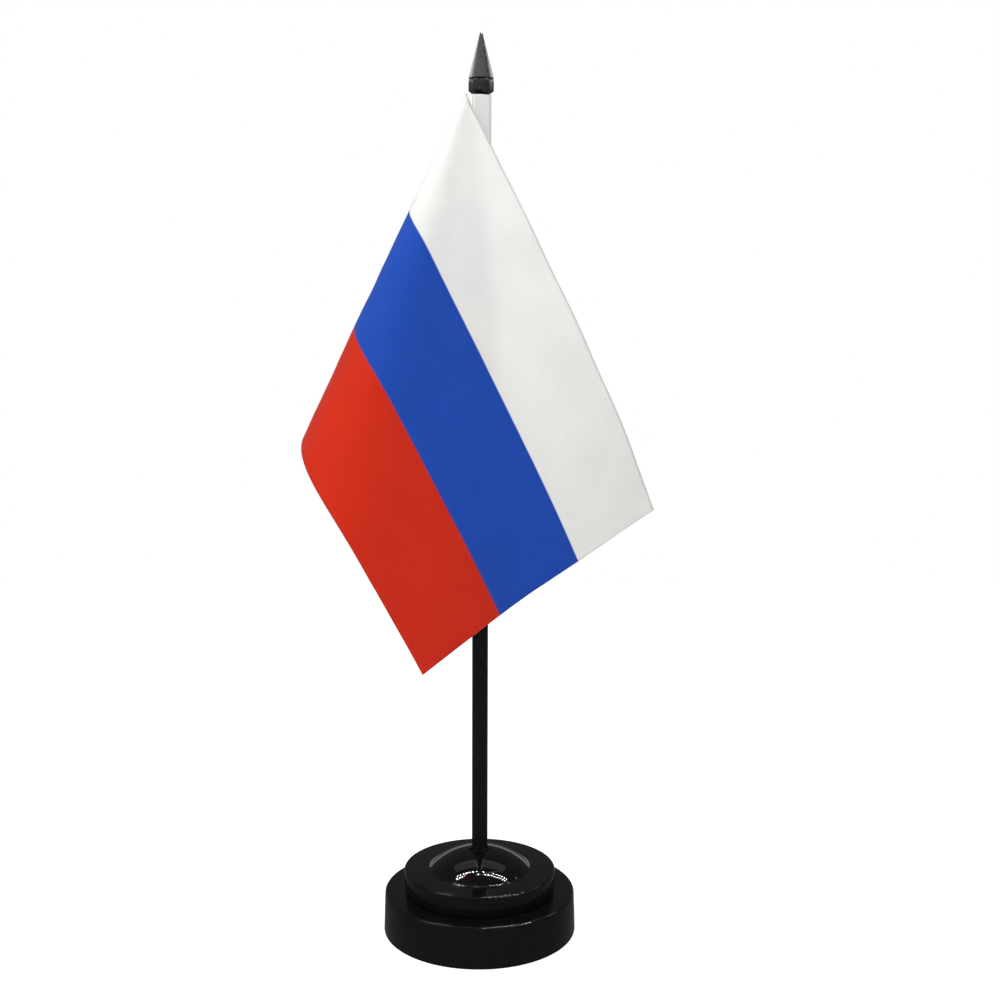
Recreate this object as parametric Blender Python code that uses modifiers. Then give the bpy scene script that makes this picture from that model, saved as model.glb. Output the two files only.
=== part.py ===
"""Desk flag stand: a weighted round base, a plain staff with a pointed finial, and a striped flag on a sewn sleeve.

Metres, +Z up. The origin is the centre of the foot pad's underside, and the staff's axis is the Z axis.
The camera side is -Y: the flag's folded side hangs to -X and its free end to +X.
"""

import math

import bmesh
import bpy
from mathutils import Vector

MM = 0.001

# Clearances
SEAT_GAP = 0.3 * MM      # between pieces that rest on or fit in each other

# Lower puck
PUCK_RADIUS = 32.5 * MM
PUCK_DRAFT = 0.45 * MM   # how much narrower the puck is at its top
PUCK_TOP = 13.9 * MM
PUCK_WALL = 2.0 * MM
PUCK_SIDE_WALL = 2.3 * MM
PUCK_EDGE_ROUND = 0.9 * MM
SEAT_RING_INSET = 5.2 * MM
SEAT_RING_WIDTH = 2.0 * MM
PUCK_CAVITY_RADIUS = PUCK_RADIUS - PUCK_SIDE_WALL
SEAT_RING_RADIUS = PUCK_CAVITY_RADIUS - SEAT_RING_INSET

# Foot pad
PAD_RADIUS = PUCK_CAVITY_RADIUS - SEAT_GAP
PAD_THICKNESS = 1.8 * MM
PAD_PROUD = 0.15 * MM    # how far the pad lifts the puck's rim off the desk

# Ballast, washer and screw
BALLAST_THICKNESS = 7.0 * MM
WASHER_RADIUS = 6.2 * MM
WASHER_THICKNESS = 1.0 * MM
COUNTERBORE_ROOM = 0.4 * MM
COUNTERBORE_RADIUS = WASHER_RADIUS + COUNTERBORE_ROOM
SCREW_SHANK_RADIUS = 2.0 * MM
SCREW_GRIP = 3.7 * MM    # how far the shank reaches into the spigot
SCREW_HEAD_RADIUS = 3.8 * MM
SCREW_HEAD_HEIGHT = 1.8 * MM
SCREW_DRIVE_RADIUS = 1.3 * MM
SCREW_DRIVE_DEPTH = 1.1 * MM

# Upper disc
DISC_RADIUS = 25.6 * MM
DISC_DRAFT = 0.1 * MM    # how much narrower the disc is at its foot
DISC_EDGE_ROUND = 0.7 * MM
DISC_HEIGHT = 7.0 * MM
DISC_TOP = PUCK_TOP + SEAT_GAP + DISC_HEIGHT
DISC_WALL = 2.0 * MM
DOME_STEP = 8.4 * MM     # flat ring between the disc's edge and its dome
DOME_RADIUS = DISC_RADIUS - DOME_STEP
DOME_HEIGHT = 6.7 * MM
DOME_WALL = 3.0 * MM
SPIGOT_RADIUS = 7.0 * MM

# Socket bush
BUSH_WALL = 0.4 * MM
BUSH_FLOOR = 0.8 * MM
BUSH_PROUD = 0.45 * MM   # how far the bush stands above the dome's rim round it
SOCKET_FLOOR = 1.0 * MM  # plastic between the screw's hole and the bush

# Staff
STAFF_RADIUS = 2.65 * MM
STAFF_WALL = 0.7 * MM
STAFF_LENGTH = 260.3 * MM

# Finial
COLLAR_RADIUS = 4.0 * MM
COLLAR_HEIGHT = 4.2 * MM
COLLAR_CHAMFER = 0.35 * MM
COLLAR_TAPER = 0.8 * MM
CONE_RADIUS = 3.95 * MM
CONE_RIM = 0.3 * MM      # straight rim below the cone
CONE_HEIGHT = 14.0 * MM
CONE_TIP_RADIUS = 0.5 * MM
PEG_ROOM = 0.35 * MM     # round the peg, inside the staff
PEG_RADIUS = STAFF_RADIUS - STAFF_WALL - PEG_ROOM
PEG_GRIP = 12.0 * MM     # how far the peg reaches into the staff

# Flag, cut flat
FLAG_HOIST = 101.0 * MM
FLAG_FLY = 155.5 * MM    # from the sleeve's seam to the fly edge
FLAG_CLOTH = 0.4 * MM
FLAG_BELOW_COLLAR = 0.4 * MM
SEAM_LEFT = 2.8 * MM     # the sleeve's seam, left of the staff's axis
SEAM_FRONT = 8.0 * MM    # and in front of it
HEM_SHORT = 1.5 * MM     # the sleeve's inner edge stops this far before the seam

# Flag, as it hangs: straight lines of cloth fan out from a point a little above the seam's top, from straight
# down at the seam round to the flag's top edge. The fan turns back on itself at the fold on the left.
FAN_ABOVE = 4.0 * MM
FAN_START = math.radians(51.6)      # the cloth leaves the seam this far behind straight left
FAN_FOLD = math.radians(54.7)       # where the fold lies, measured in the cloth from the top edge
FOLD_TURN = math.radians(157.4)
FOLD_SPREAD = math.radians(9.6)
BACK_BEND = 3.1                     # bend of the rear layer, in turns of heading for each radian of the fan
FRONT_BEND = 1.0                    # bend of the front layer near the fold, fading to none at the top edge
FLY_SWING = math.radians(14.6)      # how far the free top corner swings back

# Mesh fineness
FINE_STEPS = 72
SMALL_STEPS = 36
ARC_STEPS = 6
DOME_STEPS = 10
FAN_STEPS = 180
FLAG_CELL = 4.4 * MM
SLEEVE_CELL = 1.2 * MM

# Heights that follow from the sizes above
BALLAST_BOTTOM = PAD_THICKNESS + SEAT_GAP
BALLAST_TOP = BALLAST_BOTTOM + BALLAST_THICKNESS
SPIGOT_BOTTOM = BALLAST_TOP + SEAT_GAP
SCREW_HEAD_BOTTOM = BALLAST_BOTTOM + SEAT_GAP
WASHER_BOTTOM = SCREW_HEAD_BOTTOM + SCREW_HEAD_HEIGHT + SEAT_GAP
COUNTERBORE_TOP = WASHER_BOTTOM + WASHER_THICKNESS + SEAT_GAP
SCREW_TIP = SPIGOT_BOTTOM + SCREW_GRIP
SCREW_HOLE_TOP = SCREW_TIP + SEAT_GAP
SCREW_HOLE_RADIUS = SCREW_SHANK_RADIUS + SEAT_GAP
BUSH_INNER_RADIUS = STAFF_RADIUS + SEAT_GAP
BUSH_RADIUS = BUSH_INNER_RADIUS + BUSH_WALL
BORE_RADIUS = BUSH_RADIUS + SEAT_GAP
BORE_BOTTOM = SCREW_HOLE_TOP + SOCKET_FLOOR
BUSH_BOTTOM = BORE_BOTTOM + SEAT_GAP
STAFF_BOTTOM = BUSH_BOTTOM + BUSH_FLOOR + SEAT_GAP
STAFF_TOP = STAFF_BOTTOM + STAFF_LENGTH
COLLAR_BOTTOM = STAFF_TOP + SEAT_GAP
COLLAR_TOP = COLLAR_BOTTOM + COLLAR_HEIGHT
POINT_BOTTOM = COLLAR_TOP + SEAT_GAP
FLAG_TOP = COLLAR_BOTTOM - FLAG_BELOW_COLLAR


def clear_scene():
    for obj in list(bpy.data.objects):
        bpy.data.objects.remove(obj, do_unlink=True)


def plastic(name, color, roughness, metallic=0.0):
    material = bpy.data.materials.new(name)
    material.use_nodes = True
    shader = material.node_tree.nodes["Principled BSDF"]
    shader.inputs["Base Color"].default_value = (*color, 1.0)
    shader.inputs["Roughness"].default_value = roughness
    shader.inputs["Metallic"].default_value = metallic
    return material


def add_object(collection, name, mesh, material):
    obj = bpy.data.objects.new(name, mesh)
    mesh.materials.append(material)
    collection.objects.link(obj)
    return obj


def turned(collection, name, profile, material, steps, closed=False):
    """A profile of (radius, height) points turned round Z. It runs down the piece's outer side."""
    mesh = bpy.data.meshes.new(name)
    edges = [(i, i + 1) for i in range(len(profile) - 1)]
    if closed:
        edges.append((len(profile) - 1, 0))
    mesh.from_pydata([(radius, 0.0, height) for radius, height in profile], edges, [])
    obj = add_object(collection, name, mesh, material)
    screw = obj.modifiers.new("Turn", "SCREW")
    screw.axis = "Z"
    screw.angle = 2 * math.pi
    screw.steps = steps
    screw.render_steps = steps
    screw.use_merge_vertices = True
    screw.merge_threshold = 0.00001
    screw.use_smooth_shade = True
    return obj


def arc(centre, radius, start, end, steps):
    """Points on a circle in the profile's plane, from one angle to another, in radians."""
    angles = [start + (end - start) * i / steps for i in range(steps + 1)]
    return [(centre[0] + radius * math.cos(a), centre[1] + radius * math.sin(a)) for a in angles]


def dome_sphere():
    """The dome's sphere radius and the height of its centre."""
    radius = (DOME_RADIUS ** 2 + DOME_HEIGHT ** 2) / (2 * DOME_HEIGHT)
    return radius, DISC_TOP + DOME_HEIGHT - radius


def dome_height(radius):
    sphere, centre = dome_sphere()
    return centre + math.sqrt(sphere ** 2 - radius ** 2)


def make_foot_pad(collection, material):
    profile = [(0, PAD_THICKNESS), (PAD_RADIUS, PAD_THICKNESS), (PAD_RADIUS, 0), (0, 0)]
    return turned(collection, "foot_pad", profile, material, FINE_STEPS)


def make_base_puck(collection, material):
    top_radius = PUCK_RADIUS - PUCK_DRAFT
    ceiling = PUCK_TOP - PUCK_WALL
    inner = PUCK_CAVITY_RADIUS
    hole = SPIGOT_RADIUS + SEAT_GAP
    ring_outer = SEAT_RING_RADIUS + SEAT_RING_WIDTH / 2
    ring_inner = SEAT_RING_RADIUS - SEAT_RING_WIDTH / 2
    edge = (top_radius - PUCK_EDGE_ROUND, PUCK_TOP - PUCK_EDGE_ROUND)
    profile = [(hole, ceiling), (hole, PUCK_TOP)]
    profile += arc(edge, PUCK_EDGE_ROUND, math.pi / 2, 0, ARC_STEPS)
    profile += [
        (PUCK_RADIUS, PAD_PROUD),
        (inner, PAD_PROUD),
        (inner, ceiling),
        (ring_outer, ceiling),
        (ring_outer, SPIGOT_BOTTOM),
        (ring_inner, SPIGOT_BOTTOM),
        (ring_inner, ceiling),
    ]
    return turned(collection, "base_puck", profile, material, FINE_STEPS, closed=True)


def make_ballast_disc(collection, material):
    hole = SCREW_HOLE_RADIUS
    profile = [
        (hole, BALLAST_TOP),
        (PAD_RADIUS, BALLAST_TOP),
        (PAD_RADIUS, BALLAST_BOTTOM),
        (COUNTERBORE_RADIUS, BALLAST_BOTTOM),
        (COUNTERBORE_RADIUS, COUNTERBORE_TOP),
        (hole, COUNTERBORE_TOP),
    ]
    return turned(collection, "ballast_disc", profile, material, FINE_STEPS, closed=True)


def make_screw_washer(collection, material):
    top = WASHER_BOTTOM + WASHER_THICKNESS
    profile = [
        (SCREW_HOLE_RADIUS, top),
        (WASHER_RADIUS, top),
        (WASHER_RADIUS, WASHER_BOTTOM),
        (SCREW_HOLE_RADIUS, WASHER_BOTTOM),
    ]
    return turned(collection, "screw_washer", profile, material, SMALL_STEPS, closed=True)


def make_lock_screw(collection, material):
    head_top = SCREW_HEAD_BOTTOM + SCREW_HEAD_HEIGHT
    drive_top = SCREW_HEAD_BOTTOM + SCREW_DRIVE_DEPTH
    tip_chamfer = SCREW_SHANK_RADIUS / 4
    profile = [
        (0, SCREW_TIP),
        (SCREW_SHANK_RADIUS - tip_chamfer, SCREW_TIP),
        (SCREW_SHANK_RADIUS, SCREW_TIP - tip_chamfer),
        (SCREW_SHANK_RADIUS, head_top),
        (SCREW_HEAD_RADIUS, head_top),
        (SCREW_HEAD_RADIUS, SCREW_HEAD_BOTTOM),
        (SCREW_DRIVE_RADIUS, SCREW_HEAD_BOTTOM),
        (SCREW_DRIVE_RADIUS, drive_top),
        (0, drive_top),
    ]
    return turned(collection, "lock_screw", profile, material, SMALL_STEPS)


def make_base_disc(collection, material):
    sphere, centre = dome_sphere()
    bore_rim = dome_height(BORE_RADIUS)
    start = math.atan2(bore_rim - centre, BORE_RADIUS)
    end = math.atan2(DISC_TOP - centre, DOME_RADIUS)
    edge = (DISC_RADIUS - DISC_EDGE_ROUND, DISC_TOP - DISC_EDGE_ROUND)
    foot = PUCK_TOP + SEAT_GAP
    foot_radius = DISC_RADIUS - DISC_DRAFT
    inner = foot_radius - DISC_WALL
    ceiling = DISC_TOP - DISC_WALL
    profile = [(0, BORE_BOTTOM), (BORE_RADIUS, BORE_BOTTOM)]
    profile += arc((0, centre), sphere, start, end, DOME_STEPS)
    profile += arc(edge, DISC_EDGE_ROUND, math.pi / 2, 0, ARC_STEPS)
    profile += [
        (foot_radius, foot),
        (inner, foot),
        (inner, ceiling),
        (DOME_RADIUS, ceiling),
        (SPIGOT_RADIUS, dome_height(SPIGOT_RADIUS) - DOME_WALL),
        (SPIGOT_RADIUS, SPIGOT_BOTTOM),
        (SCREW_HOLE_RADIUS, SPIGOT_BOTTOM),
        (SCREW_HOLE_RADIUS, SCREW_HOLE_TOP),
        (0, SCREW_HOLE_TOP),
    ]
    return turned(collection, "base_disc", profile, material, FINE_STEPS)


def make_socket_bush(collection, material):
    top = dome_height(BORE_RADIUS) + BUSH_PROUD
    chamfer = BUSH_WALL / 3
    profile = [
        (0, BUSH_BOTTOM + BUSH_FLOOR),
        (BUSH_INNER_RADIUS, BUSH_BOTTOM + BUSH_FLOOR),
        (BUSH_INNER_RADIUS, top),
        (BUSH_RADIUS - chamfer, top),
        (BUSH_RADIUS, top - chamfer),
        (BUSH_RADIUS, BUSH_BOTTOM),
        (0, BUSH_BOTTOM),
    ]
    return turned(collection, "socket_bush", profile, material, SMALL_STEPS)


def make_staff_tube(collection, material):
    inner = STAFF_RADIUS - STAFF_WALL
    profile = [(inner, STAFF_TOP), (STAFF_RADIUS, STAFF_TOP), (STAFF_RADIUS, STAFF_BOTTOM), (inner, STAFF_BOTTOM)]
    return turned(collection, "staff_tube", profile, material, SMALL_STEPS, closed=True)


def make_finial_collar(collection, material):
    hole = PEG_RADIUS + SEAT_GAP
    profile = [
        (hole, COLLAR_TOP),
        (COLLAR_RADIUS - COLLAR_CHAMFER, COLLAR_TOP),
        (COLLAR_RADIUS, COLLAR_TOP - COLLAR_CHAMFER),
        (COLLAR_RADIUS, COLLAR_BOTTOM + COLLAR_TAPER),
        (STAFF_RADIUS + SEAT_GAP, COLLAR_BOTTOM),
        (hole, COLLAR_BOTTOM),
    ]
    return turned(collection, "finial_collar", profile, material, SMALL_STEPS, closed=True)


def make_finial_point(collection, material):
    rim_top = POINT_BOTTOM + CONE_RIM
    top = rim_top + CONE_HEIGHT
    slope = math.atan2(CONE_RADIUS - CONE_TIP_RADIUS, CONE_HEIGHT)
    tip = arc((0, top - CONE_TIP_RADIUS), CONE_TIP_RADIUS, math.pi / 2, slope, ARC_STEPS)
    profile = [(0, top)] + tip[1:]
    profile += [
        (CONE_RADIUS, rim_top),
        (CONE_RADIUS, POINT_BOTTOM),
        (PEG_RADIUS, POINT_BOTTOM),
        (PEG_RADIUS, STAFF_TOP - PEG_GRIP),
        (0, STAFF_TOP - PEG_GRIP),
    ]
    return turned(collection, "finial_point", profile, material, SMALL_STEPS)


def sleeve_path():
    """The sleeve in plan, from its inner edge by the seam, round the staff, back to the seam."""
    seam = Vector((-SEAM_LEFT, -SEAM_FRONT))
    radius = STAFF_RADIUS + SEAT_GAP + FLAG_CLOTH / 2
    facing = math.atan2(seam.y, seam.x)
    spread = math.acos(radius / seam.length)
    left = facing - spread
    right = facing + spread - 2 * math.pi
    first = Vector((math.cos(left), math.sin(left))) * radius
    last = Vector((math.cos(right), math.sin(right))) * radius
    start = seam + (first - seam).normalized() * HEM_SHORT
    straight = max(2, round((first - start).length / SLEEVE_CELL / 2))
    round_steps = round((left - right) * radius / SLEEVE_CELL)
    path = [start.lerp(first, i / straight) for i in range(straight)]
    path += [Vector(point) for point in arc((0, 0), radius, left, right, round_steps)]
    path += [last.lerp(seam, i / straight) for i in range(1, straight + 1)]
    return path


def fan_bend(angle):
    """How fast the fan changes heading at this angle from the top edge."""
    fold = math.exp(-((angle - FAN_FOLD) / FOLD_SPREAD) ** 2) / (FOLD_SPREAD * math.sqrt(math.pi))
    front = 1 / (1 + math.exp((angle - FAN_FOLD) / (FOLD_SPREAD / 2)))
    return -FOLD_TURN * fold - BACK_BEND * (1 - front) + FRONT_BEND * angle / FAN_FOLD * front


def fan_directions():
    """Directions of the cloth's straight lines, in even steps from the seam's to the top edge's."""
    step = math.pi / 2 / FAN_STEPS
    line = Vector((0, 0, -1))
    heading = Vector((-math.cos(FAN_START), math.sin(FAN_START), 0))
    lines = [line]
    for i in range(FAN_STEPS):
        turn = fan_bend(math.pi / 2 - (i + 0.5) * step) * step
        heading = heading * math.cos(turn) + line.cross(heading) * math.sin(turn)
        line, heading = (
            line * math.cos(step) + heading * math.sin(step),
            heading * math.cos(step) - line * math.sin(step),
        )
        lines.append(line)
    return lines


def flag_point(lines, along, down):
    """Where a point of the flat flag hangs, from its distance along the fly and down the hoist."""
    reach = math.hypot(along, down + FAN_ABOVE)
    angle = math.atan2(down + FAN_ABOVE, along)
    place = (1 - angle / (math.pi / 2)) * FAN_STEPS
    first = min(int(place), FAN_STEPS - 1)
    line = lines[first].lerp(lines[first + 1], place - first).normalized()
    free = math.sqrt(max(0.0, 1 - angle / FAN_FOLD))
    swing = FLY_SWING * (reach / FLAG_FLY) ** 2 * free
    x = line.x * math.cos(swing) - line.y * math.sin(swing)
    y = line.x * math.sin(swing) + line.y * math.cos(swing)
    apex = Vector((-SEAM_LEFT, -SEAM_FRONT, FLAG_TOP + FAN_ABOVE))
    return apex + Vector((x, y, line.z)) * reach


def make_flag_cloth(collection, materials):
    """One sheet: the sleeve round the staff, then the fanned field. Its stripes are three materials."""
    lines = fan_directions()
    path = sleeve_path()
    rows = 3 * round(FLAG_HOIST / 3 / FLAG_CELL)
    columns = round(FLAG_FLY / FLAG_CELL)
    mesh = bpy.data.meshes.new("flag_cloth")
    sheet = bmesh.new()
    grid = []
    for row in range(rows + 1):
        down = FLAG_HOIST * row / rows
        points = [Vector((p.x, p.y, FLAG_TOP - down)) for p in path]
        points += [flag_point(lines, FLAG_FLY * i / columns, down) for i in range(1, columns + 1)]
        grid.append([sheet.verts.new(point) for point in points])
    for row in range(rows):
        for i in range(len(grid[0]) - 1):
            upper, lower = grid[row], grid[row + 1]
            face = sheet.faces.new((upper[i], lower[i], lower[i + 1], upper[i + 1]))
            face.material_index = row * 3 // rows
            face.smooth = True
    sheet.to_mesh(mesh)
    sheet.free()
    obj = add_object(collection, "flag_cloth", mesh, materials[0])
    for material in materials[1:]:
        mesh.materials.append(material)
    thick = obj.modifiers.new("Cloth", "SOLIDIFY")
    thick.thickness = FLAG_CLOTH
    thick.offset = 0
    return obj


def main():
    clear_scene()
    stand = bpy.data.collections.new("desk_flag_stand")
    bpy.context.scene.collection.children.link(stand)
    gloss = plastic("gloss_black_plastic", (0.012, 0.012, 0.013), 0.12)
    satin = plastic("satin_black_plastic", (0.015, 0.015, 0.016), 0.35)
    steel = plastic("zinc_steel", (0.55, 0.56, 0.57), 0.35, 1.0)
    iron = plastic("cast_ballast", (0.18, 0.18, 0.19), 0.6, 1.0)
    foam = plastic("black_foam", (0.02, 0.02, 0.02), 0.95)
    stripes = [
        plastic("white_stripe", (0.85, 0.85, 0.84), 0.8),
        plastic("blue_stripe", (0.016, 0.09, 0.40), 0.8),
        plastic("red_stripe", (0.70, 0.045, 0.03), 0.8),
    ]
    make_foot_pad(stand, foam)
    make_ballast_disc(stand, iron)
    make_screw_washer(stand, steel)
    make_lock_screw(stand, steel)
    make_base_puck(stand, gloss)
    make_base_disc(stand, gloss)
    make_socket_bush(stand, satin)
    make_staff_tube(stand, satin)
    make_finial_collar(stand, gloss)
    make_finial_point(stand, gloss)
    make_flag_cloth(stand, stripes)


main()
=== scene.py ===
"""Looks of the desk flag stand: turned gloss base, satin staff, pointed finial and printed polyester flag.

Metres, in the CAD model's own frame: the staff's axis is the Z axis, and the camera looks along +Y.
"""

import math

import bmesh
import bpy
from mathutils import Matrix, Vector, noise


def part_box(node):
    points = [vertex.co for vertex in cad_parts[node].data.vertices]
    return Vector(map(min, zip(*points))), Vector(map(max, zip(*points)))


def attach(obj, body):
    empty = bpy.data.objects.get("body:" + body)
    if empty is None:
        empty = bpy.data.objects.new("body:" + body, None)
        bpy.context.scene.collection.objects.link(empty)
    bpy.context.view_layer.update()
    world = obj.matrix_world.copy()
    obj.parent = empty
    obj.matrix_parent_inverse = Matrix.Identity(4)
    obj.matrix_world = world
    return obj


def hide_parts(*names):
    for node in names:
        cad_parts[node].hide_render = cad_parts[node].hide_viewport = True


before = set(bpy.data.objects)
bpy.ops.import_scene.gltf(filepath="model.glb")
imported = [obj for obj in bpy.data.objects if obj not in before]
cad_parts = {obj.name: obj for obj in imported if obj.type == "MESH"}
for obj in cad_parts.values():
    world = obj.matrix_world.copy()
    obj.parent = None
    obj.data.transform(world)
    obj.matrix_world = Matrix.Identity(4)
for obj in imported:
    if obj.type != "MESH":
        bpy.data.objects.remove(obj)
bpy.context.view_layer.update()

MM = 0.001

# The CAD solids' boxes, which the turned pieces take their radii and heights from
PUCK_LOW, PUCK_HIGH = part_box("base_puck")
DISC_LOW, DISC_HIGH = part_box("base_disc")
PAD_LOW, PAD_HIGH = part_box("foot_pad")
BUSH_LOW, BUSH_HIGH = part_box("socket_bush")
STAFF_LOW, STAFF_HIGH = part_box("staff_tube")
COLLAR_LOW, COLLAR_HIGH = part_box("finial_collar")
POINT_LOW, POINT_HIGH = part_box("finial_point")
CLOTH_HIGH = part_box("flag_cloth")[1]

# Base, in the same steps as the CAD profile
SEAT_GAP = 0.3 * MM
PUCK_DRAFT = 0.45 * MM
PUCK_WALL = 2.0 * MM
PUCK_SIDE_WALL = 2.3 * MM
PUCK_EDGE_ROUND = 0.9 * MM
SEAT_RING_INSET = 5.2 * MM
SEAT_RING_WIDTH = 2.0 * MM
PAD_EDGE_ROUND = 0.3 * MM
DISC_EDGE_ROUND = 0.7 * MM
DISC_DRAFT = 0.1 * MM
DISC_HEIGHT = 7.0 * MM
DISC_WALL = 2.0 * MM
DOME_STEP = 8.4 * MM
DOME_HEIGHT = 6.7 * MM
DOME_WALL = 3.0 * MM
DOME_FOOT_ROUND = 1.1 * MM
SPIGOT_RADIUS = 7.0 * MM
SCREW_HOLE_RADIUS = 2.3 * MM
SCREW_HOLE_TOP = 13.4 * MM
BORE_BOTTOM = 14.4 * MM
BUSH_WALL = 0.4 * MM
BUSH_FLOOR = 0.8 * MM
MOULD_ROUND = 0.25 * MM   # the least radius that a moulded edge has

# Staff and finial
STAFF_WALL = 0.7 * MM
PEG_ROOM = 0.35 * MM
COLLAR_TAPER = 0.8 * MM
COLLAR_ROUND = 0.35 * MM
CONE_RIM = 0.3 * MM
CONE_TIP_RADIUS = 0.5 * MM

# Flag, cut flat, and how it hangs: the same fan of straight lines as the CAD sheet
FLAG_HOIST = 101.0 * MM
FLAG_FLY = 155.5 * MM
FLAG_THICKNESS = 0.16 * MM
WEAVE_PITCH = 0.26 * MM
INK_BLEED = 0.12 * MM      # how far two inks mix to each side of a stripe's border
CUT_EDGE_WIDTH = 0.1 * MM  # the hot-cut edge is darkest to here
CUT_EDGE_END = 0.3 * MM    # and gone from here
CUT_EDGE_SHARE = 0.16      # how much of its grey shows
SEAM_LEFT = 2.8 * MM
SEAM_FRONT = 8.0 * MM
HEM_SHORT = 0.25 * MM     # the sleeve's inner edge is sewn down this near the seam
SLEEVE_ROOM = 0.5 * MM    # between the staff and the middle of the cloth round it
SLEEVE_SAG = 0.9 * MM     # how far the sleeve's top corner hangs at the seam
SAG_REACH = 25.0 * MM     # how far along the fly this sag is felt
FAN_ABOVE = 4.0 * MM
FAN_START = math.radians(51.6)
FAN_FOLD = math.radians(54.7)
FOLD_TURN = math.radians(157.4)
FOLD_SPREAD = math.radians(9.6)
BACK_BEND = 3.1
FRONT_BEND = 1.0
FLY_SWING = math.radians(14.6)
FAN_STEPS = 360
CLOTH_CELL = 0.9 * MM
SLEEVE_CELL = 0.4 * MM
STITCH_LENGTH = 2.3 * MM
STITCH_GAP = 0.5 * MM
STITCH_FROM_SEAM = 1.1 * MM
STITCH_FROM_END = 1 * MM
THREAD_RADIUS = 0.11 * MM
THROUGH_SLEEVE = 0.1      # share of translucency in the sleeve: a guess, low so the staff doesn't darken it
THROUGH_FIELD = 0.38      # and in the field, which is a guess too

# Mesh fineness
ROUND_STEPS = 160
FINIAL_STEPS = 96
STAFF_STEPS = 72
FILLET_STEPS = 6
DOME_STEPS = 26
STITCH_STEPS = 8
STITCH_SIDES = 8
SHARP_ANGLE = math.radians(35)
ON_AXIS = 1e-7            # a profile point nearer to the axis than this is one vertex on it

# The cloth's unevenness, on top of the fan
RIPPLE_EASE = 30 * MM     # ripples grow from the seam to here
BROAD_FOLD = 0.0026       # height of the broad folds, for each metre from the seam's top
BROAD_FOLD_RATE = 11      # their phase, for each radian down the fan
FINE_FOLD = 0.0016
FINE_FOLD_RATE = 23
FLUTTER_HEIGHT = 0.45 * MM
FLUTTER_DEPTH = 16 * MM   # how far below the top edge the flutter fades
FLUTTER_LENGTH = 6.2 * MM
UNEVEN_HEIGHT = 0.32 * MM
UNEVEN_ALONG = 17 * MM
UNEVEN_DOWN = 24 * MM
CREASE_HEIGHT = 0.10 * MM
CREASE_SCALE = 3.1        # how much finer the creases are than the unevenness
PUCKER_HEIGHT = 0.10 * MM
PUCKER_LENGTH = 3.1 * MM

# Colours, linear
BLACK_ABS = (0.0040, 0.0041, 0.0045, 1.0)
DUST = (0.07, 0.07, 0.068, 1.0)
BLACK_FINIAL = ((0.010, 0.010, 0.011, 1.0), (0.017, 0.017, 0.018, 1.0))
BLACK_STAFF = ((0.0028, 0.0028, 0.0032, 1.0), (0.0055, 0.0055, 0.006, 1.0))
BLACK_FOAM = ((0.012, 0.012, 0.012, 1.0), (0.03, 0.03, 0.029, 1.0))
CAST_IRON = ((0.10, 0.10, 0.105, 1.0), (0.19, 0.18, 0.175, 1.0))
ZINC_PLATE = ((0.46, 0.47, 0.48, 1.0), (0.60, 0.61, 0.62, 1.0))
WHITE_INK = (0.86, 0.865, 0.84, 1.0)
BLUE_INK = (0.016, 0.085, 0.49, 1.0)
RED_INK = (0.665, 0.030, 0.0092, 1.0)
CUT_EDGE_GREY = (0.16, 0.17, 0.18, 1.0)
# the darker of the thread's two colours is painted shade for the grooves of its twist
WHITE_THREAD = ((0.62, 0.63, 0.62, 1.0), (0.82, 0.82, 0.80, 1.0))
PALE_FLOOR = (0.93, 0.93, 0.93, 1.0)
LED_WHITE = (1.0, 1.0, 0.97, 1.0)

# Camera: at the height of the flag, a little to the right, tipped down to take in the base
CAMERA_PLACE = (6.45 * MM, -442.8 * MM, 205.3 * MM)
CAMERA_TIP = math.radians(82.5)
CAMERA_ROLL = math.radians(0.22)
CAMERA_LENS = 48.96
CAMERA_NEAR = 0.02

# Studio
FLOOR_HALF = 0.6
FLOOR_GLOW = 0.8          # the floor's own light, which keeps it white out to its edge
GLOSS_ROOM = 0.10         # brightness of the room that gloss shows
AMBIENT = 0.30            # and of the room that lights matt surfaces
LED_HEIGHT = 0.62
LED_HALF_LENGTH = 0.37
LED_PITCH = 0.046
LED_ROW_GAP = 0.05
LED_RADIUS = 0.004
LED_PLACE = (0.03, 0.02)  # about the middle of the first row, in plan
LED_GLOW = 1100.0

# What the lights point at
FLAG_MIDDLE = (0.0, 0.0, 0.17)
FLAG_UPPER = (0.0, 0.0, 0.24)
BASE = (0.0, 0.0, 0.02)
FINIAL = (0.0, 0.0, 0.29)

# Lights as (name, place, target, width, height, power). The soft ones light matt surfaces and don't show
# in gloss. The cards show in gloss only, and the finial's cards in its two pieces only.
SOFT_LIGHTS = (
    ("top_front", (-0.16, -0.30, 0.56), FLAG_UPPER, 0.45, 0.35, 2.3),
    ("top_near", (-0.10, -0.22, 0.42), FINIAL, 0.12, 0.10, 0.28),
    ("left_fill", (-0.75, -0.65, 0.35), FLAG_MIDDLE, 0.5, 0.6, 0.85),
    ("right_fill", (0.8, -0.6, 0.35), FLAG_MIDDLE, 0.5, 0.6, 0.85),
    ("backdrop", (0.0, 0.95, 0.3), FLAG_MIDDLE, 1.4, 1.0, 0.45),
)
GLOSS_CARDS = (
    ("low_back", (0.0, 0.9, 0.09), BASE, 1.6, 0.12, 0.34),
    ("left_patch", (-0.5, -0.08, 0.58), BASE, 0.16, 0.16, 0.2),
    ("right_patch", (0.5, 0.15, 0.40), BASE, 0.14, 0.14, 0.15),
    ("back_band", (0.0, 0.3, 0.70), BASE, 0.8, 0.22, 0.28),
)
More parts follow.
